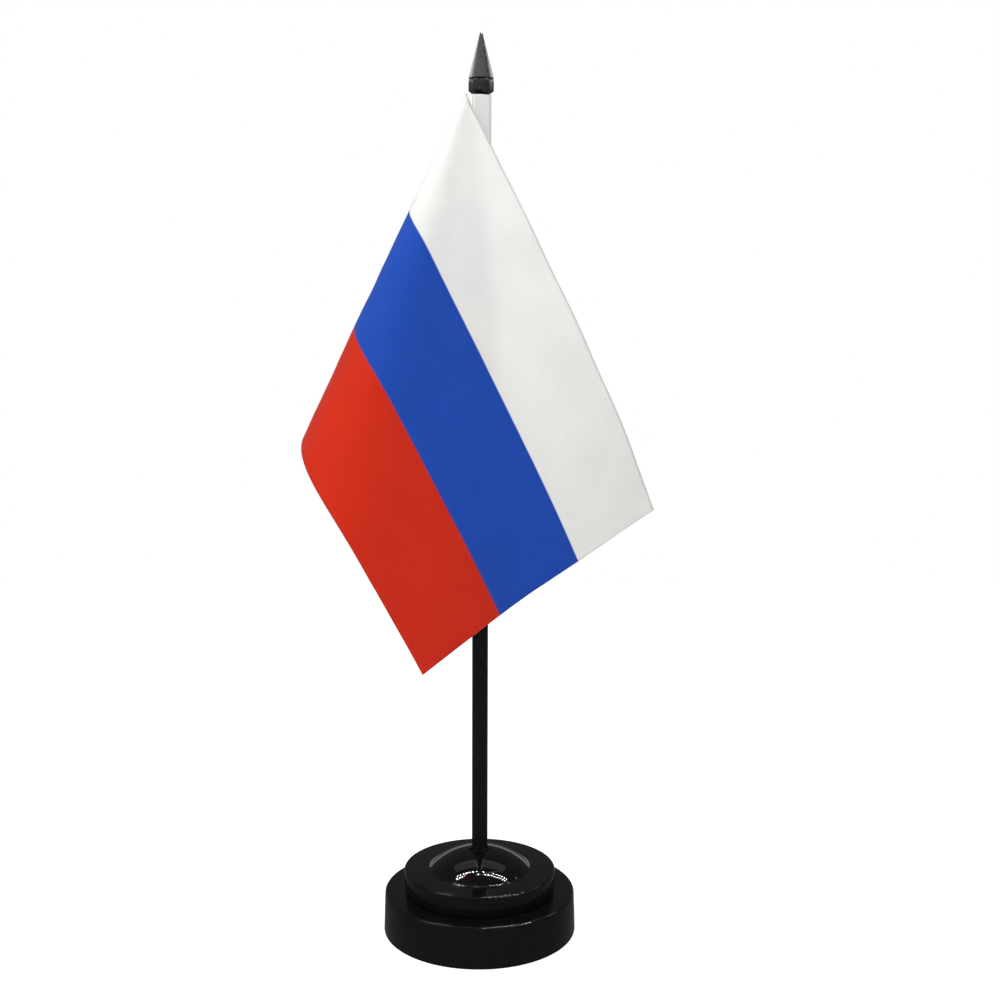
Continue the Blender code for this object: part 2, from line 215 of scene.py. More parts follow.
FINIAL_CARDS = (
    ("finial_glow", (0.0, -0.75, 0.88), FINIAL, 0.9, 0.5, 1.9),
    ("finial_left_glow", (-0.62, -0.50, 0.86), FINIAL, 0.6, 0.4, 0.9),
    ("finial_right_glow", (0.62, -0.50, 0.86), FINIAL, 0.6, 0.4, 0.8),
    ("finial_left_side", (-0.50, 0.22, 0.50), FINIAL, 0.7, 0.16, 1.5),
    ("finial_right_side", (0.50, 0.22, 0.50), FINIAL, 0.7, 0.16, 1.2),
)


# ---------------------------------------------------------------- shader helpers

def add(tree, kind, inputs=None, **settings):
    """A new shader node. An input is a plain value or another node's output."""
    node = tree.nodes.new(kind)
    for key, value in settings.items():
        setattr(node, key, value)
    for key, value in (inputs or {}).items():
        if isinstance(value, bpy.types.NodeSocket):
            tree.links.new(value, node.inputs[key])
        else:
            node.inputs[key].default_value = value
    return node


def new_material(name, **values):
    """A material and its Principled shader, with plain values set on the shader's own sockets."""
    material = bpy.data.materials.new(name)
    material.use_nodes = True
    shader = material.node_tree.nodes["Principled BSDF"]
    for key, value in values.items():
        shader.inputs[key.replace("_", " ")].default_value = value
    return material, material.node_tree, shader


def own_place(tree, stretch=(1.0, 1.0, 1.0)):
    """The surface point in the piece's own frame, in metres, stretched for streaks."""
    place = add(tree, "ShaderNodeTexCoord").outputs["Object"]
    return add(tree, "ShaderNodeMapping", {"Vector": place, "Scale": stretch}).outputs["Vector"]


def speckle(tree, place, scale, detail=3.0, roughness=0.5):
    inputs = {"Vector": place, "Scale": scale, "Detail": detail, "Roughness": roughness}
    return add(tree, "ShaderNodeTexNoise", inputs).outputs["Fac"]


def ranged(tree, value, low, high, out_low, out_high):
    inputs = {"Value": value, "From Min": low, "From Max": high, "To Min": out_low, "To Max": out_high}
    return add(tree, "ShaderNodeMapRange", inputs).outputs["Result"]


def math_node(tree, operation, first, second):
    return add(tree, "ShaderNodeMath", {0: first, 1: second}, operation=operation).outputs["Value"]


def mixed_color(tree, share, first, second):
    inputs = {0: share, 6: first, 7: second}
    return add(tree, "ShaderNodeMix", inputs, data_type="RGBA").outputs[2]


def bumped(tree, height, depth, strength=1.0, below=None):
    inputs = {"Height": height, "Distance": depth, "Strength": strength}
    if below is not None:
        inputs["Normal"] = below
    return add(tree, "ShaderNodeBump", inputs).outputs["Normal"]


def join(tree, shader, **links):
    for key, output in links.items():
        tree.links.new(output, shader.inputs[key.replace("_", " ")])


# ---------------------------------------------------------------- materials

def gloss_plastic():
    """Black moulded ABS: a clear gloss with a trace of orange peel, handling haze, hairlines and dust."""
    material, tree, shader = new_material("gloss_black_plastic", Specular_IOR_Level=0.34)
    place = own_place(tree)
    haze = ranged(tree, speckle(tree, place, 70.0), 0.35, 0.7, 0.005, 0.02)
    dust = ranged(tree, speckle(tree, place, 2100.0, 1.0), 0.72, 0.78, 0.0, 1.0)
    patches = ranged(tree, speckle(tree, place, 45.0, 2.0), 0.45, 0.65, 0.0, 0.5)
    dusty = math_node(tree, "MULTIPLY", dust, patches)
    color = mixed_color(tree, dusty, BLACK_ABS, DUST)
    roughness = math_node(tree, "ADD", haze, math_node(tree, "MULTIPLY", dusty, 0.5))
    hairline = speckle(tree, own_place(tree, (90.0, 1400.0, 1400.0)), 1.0, 2.0)
    scratch = ranged(tree, hairline, 0.66, 0.72, 0.0, 1.0)
    peel = bumped(tree, speckle(tree, place, 260.0, 2.0), 0.02 * MM, 0.03)
    surface = bumped(tree, scratch, 0.004 * MM, 0.3, below=peel)
    join(tree, shader, Base_Color=color, Roughness=roughness, Normal=surface)
    return material


def finial_plastic():
    """The same black plastic, a little hazier, with faint rings left by its mould's turned cavity."""
    material, tree, shader = new_material("gloss_black_finial", Specular_IOR_Level=0.5)
    place = own_place(tree)
    roughness = ranged(tree, speckle(tree, place, 320.0), 0.3, 0.7, 0.13, 0.24)
    rings = add(
        tree, "ShaderNodeTexWave", {"Vector": place, "Scale": 420.0, "Distortion": 0.6, "Detail": 1.0},
        bands_direction="Z",
    ).outputs["Fac"]
    grain = speckle(tree, place, 900.0, 2.0)
    surface = bumped(tree, rings, 0.006 * MM, 0.25, below=bumped(tree, grain, 0.01 * MM, 0.3))
    shade = ranged(tree, grain, 0.3, 0.7, 0.0, 1.0)
    color = mixed_color(tree, shade, *BLACK_FINIAL)
    join(tree, shader, Base_Color=color, Roughness=roughness, Normal=surface)
    return material


def satin_plastic():
    """Extruded black staff: satin, with long draw lines and a few rubbed places."""
    material, tree, shader = new_material("satin_black_plastic", Specular_IOR_Level=0.35)
    streaks = speckle(tree, own_place(tree, (1600.0, 1600.0, 12.0)), 1.0, 2.0)
    rubs = speckle(tree, own_place(tree), 60.0, 3.0)
    roughness = math_node(
        tree, "ADD", ranged(tree, streaks, 0.3, 0.7, 0.22, 0.30), ranged(tree, rubs, 0.4, 0.7, 0.0, 0.08)
    )
    color = mixed_color(tree, rubs, *BLACK_STAFF)
    join(tree, shader, Base_Color=color, Roughness=roughness, Normal=bumped(tree, streaks, 0.01 * MM, 0.3))
    return material


def foam_rubber():
    """Closed-cell black foam under the base."""
    material, tree, shader = new_material("black_foam", Specular_IOR_Level=0.2)
    cells = add(
        tree, "ShaderNodeTexVoronoi", {"Vector": own_place(tree), "Scale": 1500.0}, feature="F1"
    ).outputs["Distance"]
    shade = speckle(tree, own_place(tree), 220.0)
    color = mixed_color(tree, shade, *BLACK_FOAM)
    roughness = ranged(tree, shade, 0.3, 0.7, 0.88, 0.98)
    join(tree, shader, Base_Color=color, Roughness=roughness, Normal=bumped(tree, cells, 0.15 * MM, 0.7))
    return material


def metal(name, colors, grain, rough_low, rough_high, depth):
    """A metal between two colours, its pits as fine as grain says and as deep as depth says."""
    material, tree, shader = new_material(name, Metallic=1.0)
    place = own_place(tree)
    pits = speckle(tree, place, grain, 5.0, 0.6)
    stain = speckle(tree, place, grain / 9.0, 2.0)
    color = mixed_color(tree, ranged(tree, stain, 0.3, 0.7, 0.0, 1.0), *colors)
    roughness = ranged(tree, pits, 0.3, 0.7, rough_low, rough_high)
    join(tree, shader, Base_Color=color, Roughness=roughness, Normal=bumped(tree, pits, depth, 0.6))
    return material


def flat_cloth(tree):
    """Where a point lies on the flat flag: along the fly and down the hoist, in metres."""
    flat = add(tree, "ShaderNodeUVMap", uv_map="Flat").outputs["UV"]
    parts = add(tree, "ShaderNodeSeparateXYZ", {"Vector": flat})
    return flat, parts.outputs["X"], parts.outputs["Y"]


def stripes(tree, down, colors):
    """The printed stripes: each colour takes a third of the hoist, and inks mix a little at a border."""
    ramp = add(tree, "ShaderNodeValToRGB", {"Fac": ranged(tree, down, 0.0, FLAG_HOIST, 0.0, 1.0)})
    bleed = INK_BLEED / FLAG_HOIST
    marks = ramp.color_ramp.elements
    marks[0].position, marks[0].color = 1 / 3 - bleed, colors[0]
    marks[1].position, marks[1].color = 1 / 3 + bleed, colors[1]
    for position, color in ((2 / 3 - bleed, colors[1]), (2 / 3 + bleed, colors[2])):
        marks.new(position).color = color
    return ramp.outputs["Color"]


def threads(tree, flat):
    """A plain weave's height, from one wave for the warp and one for the weft, both a little distorted."""
    pitch_scale = 2 * math.pi / 20 / WEAVE_PITCH
    waves = []
    for direction in ("X", "Y"):
        inputs = {
            "Vector": flat, "Scale": pitch_scale, "Distortion": 0.8,
            "Detail": 1.0, "Detail Scale": 0.3,
        }
        waves.append(add(tree, "ShaderNodeTexWave", inputs, bands_direction=direction).outputs["Fac"])
    return math_node(tree, "MULTIPLY", waves[0], waves[1])


def cut_edge(tree, along, down, field_start):
    """1 on the hot-cut edge, fading to 0 a little inside it."""
    to_fly = math_node(tree, "SUBTRACT", field_start + FLAG_FLY, along)
    to_bottom = math_node(tree, "SUBTRACT", FLAG_HOIST, down)
    nearest = math_node(tree, "MINIMUM", math_node(tree, "MINIMUM", to_fly, to_bottom), down)
    return ranged(tree, nearest, CUT_EDGE_WIDTH, CUT_EDGE_END, 1.0, 0.0)


def flag_fabric(field_start):
    """Thin printed polyester: a fine weave, a little sheen, light coming through, faint hot-cut edges."""
    material, tree, shader = new_material(
        "striped_polyester", Specular_IOR_Level=0.2, Sheen_Weight=0.12, Sheen_Roughness=0.4
    )
    flat, along, down = flat_cloth(tree)
    weave = threads(tree, flat)
    slubs = speckle(tree, flat, 1900.0, 2.0)
    dyed = stripes(tree, down, (WHITE_INK, BLUE_INK, RED_INK))
    clouds = speckle(tree, flat, 75.0, 3.0)
    uneven = ranged(tree, slubs, 0.3, 0.7, 0.93, 1.03)
    grain = math_node(tree, "ADD", uneven, ranged(tree, clouds, 0.3, 0.7, -0.02, 0.02))
    scaled = add(tree, "ShaderNodeVectorMath", {0: dyed, "Scale": grain}, operation="SCALE")
    edge = math_node(tree, "MULTIPLY", cut_edge(tree, along, down, field_start), CUT_EDGE_SHARE)
    color = mixed_color(tree, edge, scaled.outputs["Vector"], CUT_EDGE_GREY)
    height = math_node(tree, "ADD", weave, slubs)
    roughness = ranged(tree, slubs, 0.3, 0.7, 0.74, 0.86)
    surface = bumped(tree, height, 0.02 * MM, 0.35)
    join(tree, shader, Base_Color=color, Roughness=roughness, Normal=surface)
    through = add(tree, "ShaderNodeBsdfTranslucent", {"Color": color, "Normal": surface})
    seam_start, seam_end = field_start - 1 * MM, field_start + 1 * MM
    share = ranged(tree, along, seam_start, seam_end, THROUGH_SLEEVE, THROUGH_FIELD)
    inputs = {0: share, 1: shader.outputs["BSDF"], 2: through.outputs["BSDF"]}
    both = add(tree, "ShaderNodeMixShader", inputs)
    tree.links.new(both.outputs["Shader"], tree.nodes["Material Output"].inputs["Surface"])
    return material


def sewing_thread():
    """White spun polyester thread, with its twist as a fine slanting wave, and painted shade that darkens
    its colour in the twist's grooves.
    """
    material, tree, shader = new_material("white_thread", Specular_IOR_Level=0.25, Sheen_Weight=0.2)
    twist = add(
        tree, "ShaderNodeTexWave", {"Vector": own_place(tree), "Scale": 1500.0, "Distortion": 1.0},
        bands_direction="DIAGONAL",
    ).outputs["Fac"]
    # painted shade: the colour goes darker where the twist's bump is lowest, in its grooves
    color = mixed_color(tree, twist, *WHITE_THREAD)
    roughness = ranged(tree, twist, 0.0, 1.0, 0.8, 0.65)
    join(tree, shader, Base_Color=color, Roughness=roughness, Normal=bumped(tree, twist, 0.02 * MM, 0.8))
    return material


# ---------------------------------------------------------------- turned pieces

def filleted(corners):
    """Corners of (radius, height, fillet) as profile points, with each fillet as a circular arc."""
    points = []
    for i, (radius, height, fillet) in enumerate(corners):
        corner = Vector((radius, height))
        if not fillet:
            points.append(corner)
            continue
        before = Vector(corners[i - 1][:2]) - corner
        after = Vector(corners[(i + 1) % len(corners)][:2]) - corner
        turn = math.pi - before.angle(after)
        reach = fillet * math.tan(turn / 2)
        start = corner + before.normalized() * reach
        end = corner + after.normalized() * reach
        weight = math.cos(turn / 2)
        for step in range(FILLET_STEPS + 1):
            t = step / FILLET_STEPS
            near, middle, far = (1 - t) ** 2, 2 * weight * t * (1 - t), t ** 2
            points.append((start * near + corner * middle + end * far) / (near + middle + far))
    return points


def turned(name, corners, material, body, node, closed=True, steps=ROUND_STEPS):
    """A profile that runs down the outer side and up the inner one, turned round Z, for a CAD node."""
    points = filleted(corners)
    mesh = bpy.data.meshes.new(name)
    solid = bmesh.new()
    rings = []
    for point in points:
        if point.x < ON_AXIS:
            rings.append([solid.verts.new((0, 0, point.y))])
            continue
        ring = []
        for i in range(steps):
            angle = 2 * math.pi * i / steps
            ring.append(solid.verts.new((point.x * math.cos(angle), point.x * math.sin(angle), point.y)))
        rings.append(ring)
    pairs = list(zip(rings, rings[1:]))
    if closed:
        pairs.append((rings[-1], rings[0]))
    for upper, lower in pairs:
        for i in range(steps):
            j = (i + 1) % steps
            face = [upper[i % len(upper)], lower[i % len(lower)]]
            face += [lower[j % len(lower)], upper[j % len(upper)]]
            solid.faces.new(list(dict.fromkeys(face)))
    bmesh.ops.recalc_face_normals(solid, faces=solid.faces)
    solid.to_mesh(mesh)
    solid.free()
    return placed(name, mesh, material, body, node)


def placed(name, mesh, material, body, node=None):
    """A new piece on a CAD body, smooth where it is round and crisp at its corners."""
    mesh.shade_smooth()
    mesh.set_sharp_from_angle(angle=SHARP_ANGLE)
    obj = bpy.data.objects.new(name, mesh)
    bpy.context.scene.collection.objects.link(obj)
    mesh.materials.append(material)
    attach(obj, body)
    if node:
        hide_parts(node)
    return obj


def make_puck(material):
    radius, top, bottom = PUCK_HIGH.x, PUCK_HIGH.z, PUCK_LOW.z
    ceiling = top - PUCK_WALL
    cavity = radius - PUCK_SIDE_WALL
    ring = cavity - SEAT_RING_INSET
    half = SEAT_RING_WIDTH / 2
    hole = SPIGOT_RADIUS + SEAT_GAP
    corners = [
        (hole, top, MOULD_ROUND),
        (radius - PUCK_DRAFT, top, PUCK_EDGE_ROUND),
        (radius, bottom, MOULD_ROUND),
        (cavity, bottom, MOULD_ROUND),
        (cavity, ceiling, 0),
        (ring + half, ceiling, 0),
        (ring + half, DISC_LOW.z, 0),
        (ring - half, DISC_LOW.z, 0),
        (ring - half, ceiling, 0),
        (hole, ceiling, 0),
    ]
    return turned("base_puck_shell", corners, material, "base", "base_puck")


def dome_sphere(disc_top, dome_radius):
    """The dome's sphere radius and the height of its centre."""
    radius = (dome_radius ** 2 + DOME_HEIGHT ** 2) / (2 * DOME_HEIGHT)
    return radius, disc_top + DOME_HEIGHT - radius


def dome_line(sphere, centre, first, last, steps):
    """Points down the dome from one radius to another."""
    radii = [first + (last - first) * i / steps for i in range(steps + 1)]
    return [(r, centre + math.sqrt(sphere ** 2 - r ** 2), 0) for r in radii]


def make_disc(material):
    """The upper disc: dome with a bored top, flat land, rounded rim, and a spigot down the middle."""
    disc_foot = PUCK_HIGH.z + SEAT_GAP
    disc_top = disc_foot + DISC_HEIGHT
    radius = DISC_HIGH.x
    foot_radius = radius - DISC_DRAFT
    dome_radius = radius - DOME_STEP
    sphere, centre = dome_sphere(disc_top, dome_radius)
    bore = BUSH_HIGH.x + SEAT_GAP
    dome_foot = dome_radius - DOME_FOOT_ROUND * 0.6
    under_dome = centre + math.sqrt(sphere ** 2 - SPIGOT_RADIUS ** 2) - DOME_WALL
    corners = [(0, BORE_BOTTOM, 0), (bore, BORE_BOTTOM, 0)]
    corners += dome_line(sphere, centre, bore, dome_foot, DOME_STEPS)
    corners += [
        (dome_radius, disc_top, DOME_FOOT_ROUND),
        (radius, disc_top, DISC_EDGE_ROUND),
        (foot_radius, disc_foot, MOULD_ROUND),
        (foot_radius - DISC_WALL, disc_foot, 0),
        (foot_radius - DISC_WALL, disc_top - DISC_WALL, 0),
        (dome_radius, disc_top - DISC_WALL, 0),
        (SPIGOT_RADIUS, under_dome, 0),
        (SPIGOT_RADIUS, DISC_LOW.z, MOULD_ROUND),
        (SCREW_HOLE_RADIUS, DISC_LOW.z, 0),
        (SCREW_HOLE_RADIUS, SCREW_HOLE_TOP, 0),
        (0, SCREW_HOLE_TOP, 0),
    ]
    return turned("base_disc_shell", corners, material, "base", "base_disc", closed=False)


def make_bush(material):
    outer, top, bottom = BUSH_HIGH.x, BUSH_HIGH.z, BUSH_LOW.z
    inner = outer - BUSH_WALL
    corners = [
        (0, bottom + BUSH_FLOOR, 0),
        (inner, bottom + BUSH_FLOOR, 0),
        (inner, top, BUSH_WALL / 3),
        (outer, top, BUSH_WALL / 3),
        (outer, bottom, 0),
        (0, bottom, 0),
    ]
    return turned(
        "socket_bush_shell", corners, material, "bush", "socket_bush",
        closed=False, steps=STAFF_STEPS,
    )


def make_staff(material):
    outer, top, bottom = STAFF_HIGH.x, STAFF_HIGH.z, STAFF_LOW.z
    inner = outer - STAFF_WALL
    corners = [
        (inner, top, 0),
        (outer, top, MOULD_ROUND / 2),
        (outer, bottom, MOULD_ROUND / 2),
        (inner, bottom, 0),
    ]
    return turned("staff_rod", corners, material, "staff", "staff_tube", steps=STAFF_STEPS)


def make_collar(material):
    outer, top, bottom = COLLAR_HIGH.x, COLLAR_HIGH.z, COLLAR_LOW.z
    hole = STAFF_HIGH.x - STAFF_WALL - PEG_ROOM + SEAT_GAP
    corners = [
        (hole, top, 0),
        (outer, top, COLLAR_ROUND),
        (outer, bottom + COLLAR_TAPER, COLLAR_ROUND),
        (STAFF_HIGH.x + SEAT_GAP, bottom, MOULD_ROUND / 2),
        (hole, bottom, 0),
    ]
    return turned(
        "finial_ring", corners, material, "finial", "finial_collar", steps=FINIAL_STEPS
    )


def make_point(material):
    """The cone with its short rim, rounded tip and the peg that goes down into the staff."""
    peg = STAFF_HIGH.x - STAFF_WALL - PEG_ROOM
    base, top, rim_bottom = POINT_HIGH.x, POINT_HIGH.z, COLLAR_HIGH.z + SEAT_GAP
    rim_top = rim_bottom + CONE_RIM
    slope = math.atan2(base - CONE_TIP_RADIUS, top - rim_top)
    tip_centre = top - CONE_TIP_RADIUS
    corners = [(0, top, 0)]
    for step in range(1, FILLET_STEPS + 1):
        angle = math.pi / 2 + (slope - math.pi / 2) * step / FILLET_STEPS
        height = tip_centre + CONE_TIP_RADIUS * math.sin(angle)
        corners.append((CONE_TIP_RADIUS * math.cos(angle), height, 0))
    corners += [
        (base, rim_top, CONE_RIM / 2),
        (base, rim_bottom, CONE_RIM / 4),
        (peg, rim_bottom, 0),
        (peg, POINT_LOW.z, MOULD_ROUND),
        (0, POINT_LOW.z, 0),
    ]
    return turned(
        "finial_cone", corners, material, "finial", "finial_point",
        closed=False, steps=FINIAL_STEPS,
    )


def make_pad(material):
    radius, top, bottom = PAD_HIGH.x, PAD_HIGH.z, PAD_LOW.z
    corners = [(0, top, 0), (radius, top, PAD_EDGE_ROUND), (radius, bottom, PAD_EDGE_ROUND), (0, bottom, 0)]
    return turned("foot_foam_disc", corners, material, "base", "foot_pad", closed=False)


# ---------------------------------------------------------------- flag

def sleeve_path():
    """The sleeve in plan, from its inner edge by the seam, round the staff, back to the seam."""
    seam = Vector((-SEAM_LEFT, -SEAM_FRONT))
    radius = STAFF_HIGH.x + SLEEVE_ROOM
    facing = math.atan2(seam.y, seam.x)
    spread = math.acos(radius / seam.length)
    left = facing - spread
    right = facing + spread - 2 * math.pi
    first = Vector((math.cos(left), math.sin(left))) * radius
    last = Vector((math.cos(right), math.sin(right))) * radius
    start = seam + (first - seam).normalized() * HEM_SHORT
    straight = round((first - start).length / SLEEVE_CELL)
    turns = round((left - right) * radius / SLEEVE_CELL)
    path = [start.lerp(first, i / straight) for i in range(straight)]
    for i in range(turns + 1):
        angle = left + (right - left) * i / turns
        path.append(Vector((math.cos(angle), math.sin(angle))) * radius)
    path += [last.lerp(seam, i / straight) for i in range(1, straight + 1)]
    return path


def fan_bend(angle):
    """How fast the fan changes heading at this angle from the top edge."""
    fold = math.exp(-((angle - FAN_FOLD) / FOLD_SPREAD) ** 2) / (FOLD_SPREAD * math.sqrt(math.pi))
    front = 1 / (1 + math.exp((angle - FAN_FOLD) / (FOLD_SPREAD / 2)))
    return -FOLD_TURN * fold - BACK_BEND * (1 - front) + FRONT_BEND * angle / FAN_FOLD * front


def fan_directions():
    """Directions of the cloth's straight lines, in even steps from the seam's to the top edge's."""
    step = math.pi / 2 / FAN_STEPS
    line = Vector((0, 0, -1))
    heading = Vector((-math.cos(FAN_START), math.sin(FAN_START), 0))
    lines = [line]
    for i in range(FAN_STEPS):
        turn = fan_bend(math.pi / 2 - (i + 0.5) * step) * step
        heading = heading * math.cos(turn) + line.cross(heading) * math.sin(turn)
        line, heading = (
            line * math.cos(step) + heading * math.sin(step),
            heading * math.cos(step) - line * math.sin(step),
        )
        lines.append(line)
    return lines


def flag_point(lines, flag_top, along, down):
    """Where a point of the flat flag hangs, from its distance along the fly and down the hoist."""
    reach = math.hypot(along, down + FAN_ABOVE)
    angle = math.atan2(down + FAN_ABOVE, along)
    place = (1 - angle / (math.pi / 2)) * FAN_STEPS
    first = min(int(place), FAN_STEPS - 1)
    line = lines[first].lerp(lines[first + 1], place - first).normalized()
    free = math.sqrt(max(0.0, 1 - angle / FAN_FOLD))
    swing = FLY_SWING * (reach / FLAG_FLY) ** 2 * free
    x = line.x * math.cos(swing) - line.y * math.sin(swing)
    y = line.x * math.sin(swing) + line.y * math.cos(swing)
    apex = Vector((-SEAM_LEFT, -SEAM_FRONT, flag_top + FAN_ABOVE))
    return apex + Vector((x, y, line.z)) * reach


def ripple(along, down):
    """How far the cloth stands off its smooth fan: soft folds that spread with it, a fluttering top edge
    and the slight unevenness of light fabric. Nothing moves at the seam."""
    reach = math.hypot(along, down)
    angle = math.atan2(down + FAN_ABOVE, along)
    ease = min(1.0, along / RIPPLE_EASE) ** 2
    folds = BROAD_FOLD * math.sin(BROAD_FOLD_RATE * angle + 0.6)
    folds += FINE_FOLD * math.sin(FINE_FOLD_RATE * angle + 2.1)
    flutter = FLUTTER_HEIGHT * math.exp(-down / FLUTTER_DEPTH) * math.sin(along / FLUTTER_LENGTH + 0.8)
    place = Vector((along / UNEVEN_ALONG, down / UNEVEN_DOWN, 3.7))
    uneven = UNEVEN_HEIGHT * noise.noise(place) + CREASE_HEIGHT * noise.noise(place * CREASE_SCALE)
    return ease * (reach * folds + flutter + uneven)


def pucker(path_share, down):
    """The sleeve's gathers beside the seam, where the thread draws the cloth in."""
    near_seam = max(0.0, 1 - 5 * min(path_share, 1 - path_share))
    return PUCKER_HEIGHT * near_seam * noise.noise(Vector((path_share * 9, down / PUCKER_LENGTH, 8.2)))


def sag(from_back, along, down):
    """How far the cloth hangs below its straight rows beside the seam, most at the top."""
    near = from_back ** 2 * max(0.0, 1 - along / SAG_REACH) ** 2
    return Vector((0, 0, -SLEEVE_SAG * near * (1 - down / FLAG_HOIST)))


def cloth_grid(path, lines, flag_top):
    """Rows of the sheet's middle surface, as (point, distance along the cut cloth)."""
    lengths = [0.0]
    for here, there in zip(path, path[1:]):
        lengths.append(lengths[-1] + (there - here).length)
    columns = round(FLAG_FLY / CLOTH_CELL)
    rows = 3 * round(FLAG_HOIST / 3 / CLOTH_CELL)
    grid = []
    for row in range(rows + 1):
        down = FLAG_HOIST * row / rows
        line = []
        for point, length in zip(path, lengths):
            share = length / lengths[-1]
            out = point.normalized() * pucker(share, down)
            place = Vector((point.x + out.x, point.y + out.y, flag_top - down))
            line.append((place + sag(abs(2 * share - 1), 0.0, down), length))
        for i in range(1, columns + 1):
            along = FLAG_FLY * i / columns
            place = flag_point(lines, flag_top, along, down) + sag(1.0, along, down)
            line.append((place, lengths[-1] + along))
        grid.append(line)
    return grid, lengths[-1]


def rippled(grid, sleeve_length):
    """The grid with each point of the field moved along its own normal."""
    last_row, last_column = len(grid) - 1, len(grid[0]) - 1
    moved = []
    for row, line in enumerate(grid):
        down = FLAG_HOIST * row / last_row
        new_line = []
        for i, (point, length) in enumerate(line):
            along = length - sleeve_length
            if along > 0:
                across = line[min(i + 1, last_column)][0] - line[i - 1][0]
                upward = grid[max(row - 1, 0)][i][0] - grid[min(row + 1, last_row)][i][0]
                point = point + across.cross(upward).normalized() * ripple(along, down)
            new_line.append((point, length))
        moved.append(new_line)
    return moved


def make_flag():
    """The whole cloth as one sheet: sleeve and field, with its flat shape as a UV map in metres."""
    flag_top = CLOTH_HIGH.z
    grid, sleeve_length = cloth_grid(sleeve_path(), fan_directions(), flag_top)
    grid = rippled(grid, sleeve_length)
    rows = len(grid) - 1
    mesh = bpy.data.meshes.new("flag_sheet")
    sheet = bmesh.new()
    flat = sheet.loops.layers.uv.new("Flat")
    verts = [[sheet.verts.new(point) for point, _ in line] for line in grid]
    for row in range(rows):
        for i in range(len(grid[0]) - 1):
            corners = ((row, i), (row + 1, i), (row + 1, i + 1), (row, i + 1))
            face = sheet.faces.new([verts[r][c] for r, c in corners])
            for loop, (r, c) in zip(face.loops, corners):
                loop[flat].uv = (grid[r][c][1], FLAG_HOIST * r / rows)
    sheet.to_mesh(mesh)
    sheet.free()
    flag = placed("flag_sheet", mesh, flag_fabric(sleeve_length), "flag", "flag_cloth")
    thick = flag.modifiers.new("Cloth", "SOLIDIFY")
    thick.thickness = FLAG_THICKNESS
    thick.offset = 0
    return flag, sleeve_length


def stitch(solid, start, end, out):
    """One stitch: a short thread that rises from the cloth, runs flat and dives back."""
    side = (end - start).cross(out).normalized()
    rings = []
    for i in range(STITCH_STEPS + 1):
        t = i / STITCH_STEPS
        lift = THREAD_RADIUS * (1.5 * (1 - (2 * t - 1) ** 6) - 0.7)
        centre = start.lerp(end, t) + out * lift
        ring = []
        for k in range(STITCH_SIDES):
            angle = 2 * math.pi * k / STITCH_SIDES
            around = out * math.cos(angle) + side * math.sin(angle)
            ring.append(solid.verts.new(centre + around * THREAD_RADIUS))
        rings.append(ring)
    for here, there in zip(rings, rings[1:]):
        for k in range(STITCH_SIDES):
            j = (k + 1) % STITCH_SIDES
            solid.faces.new((here[k], here[j], there[j], there[k]))
    solid.faces.new(rings[0])
    solid.faces.new(rings[-1])


def make_stitches(material):
    """A row of lockstitch down each outer side of the sleeve, just behind the seam."""
    path = sleeve_path()
    seam = path[-1]
    centre_line = -seam.normalized()
    solid = bmesh.new()
    for before in (path[-2], path[0].lerp(path[1], 0.5)):
        away = (before - seam).normalized()
        out = Vector((-away.y, away.x))
        if out.dot(centre_line - away * away.dot(centre_line)) > 0:
            out = -out
        foot = seam + away * STITCH_FROM_SEAM + out * FLAG_THICKNESS / 2
        pitch = STITCH_LENGTH + STITCH_GAP
        count = int((FLAG_HOIST - 2 * STITCH_FROM_END) / pitch)
        for i in range(count):
            top = CLOTH_HIGH.z - STITCH_FROM_END - i * pitch
            start = Vector((foot.x, foot.y, top))
            stitch(solid, start, start - Vector((0, 0, STITCH_LENGTH)), Vector((out.x, out.y, 0)))
    bmesh.ops.recalc_face_normals(solid, faces=solid.faces)
    mesh = bpy.data.meshes.new("sleeve_stitches")
    solid.to_mesh(mesh)
    solid.free()
    return placed("sleeve_stitches", mesh, material, "flag")


# ---------------------------------------------------------------- studio

def stage_material(name, color, strength):
    """A plain matt card, or a glowing one if strength is over 0."""
    material, _, shader = new_material(name, Base_Color=color, Roughness=0.9, Specular_IOR_Level=0.0)
    shader.inputs["Emission Color"].default_value = color
    shader.inputs["Emission Strength"].default_value = strength
    return material


def make_floor():
    """A small white floor with some light of its own, to blend into the white world. Gloss hides it."""
    mesh = bpy.data.meshes.new("floor")
    corners = [(x * FLOOR_HALF, y * FLOOR_HALF, 0) for x, y in ((-1, -1), (1, -1), (1, 1), (-1, 1))]
    mesh.from_pydata(corners, [], [(0, 1, 2, 3)])
    floor = bpy.data.objects.new("floor", mesh)
    mesh.materials.append(stage_material("pale_floor", PALE_FLOOR, FLOOR_GLOW))
    bpy.context.scene.collection.objects.link(floor)
    floor.visible_glossy = False


def area_light(name, place, target, width, height, power, glossy):
    """A rectangular light that either shows in gloss or lights matt surfaces."""
    light = bpy.data.lights.new(name, "AREA")
    light.shape = "RECTANGLE"
    light.size, light.size_y = width, height
    light.energy = power
    obj = bpy.data.objects.new(name, light)
    obj.location = place
    obj.rotation_euler = (Vector(target) - Vector(place)).to_track_quat("-Z", "Y").to_euler()
    obj.visible_glossy = glossy
    obj.visible_diffuse = not glossy
    obj.visible_camera = False
    bpy.context.scene.collection.objects.link(obj)
    return obj


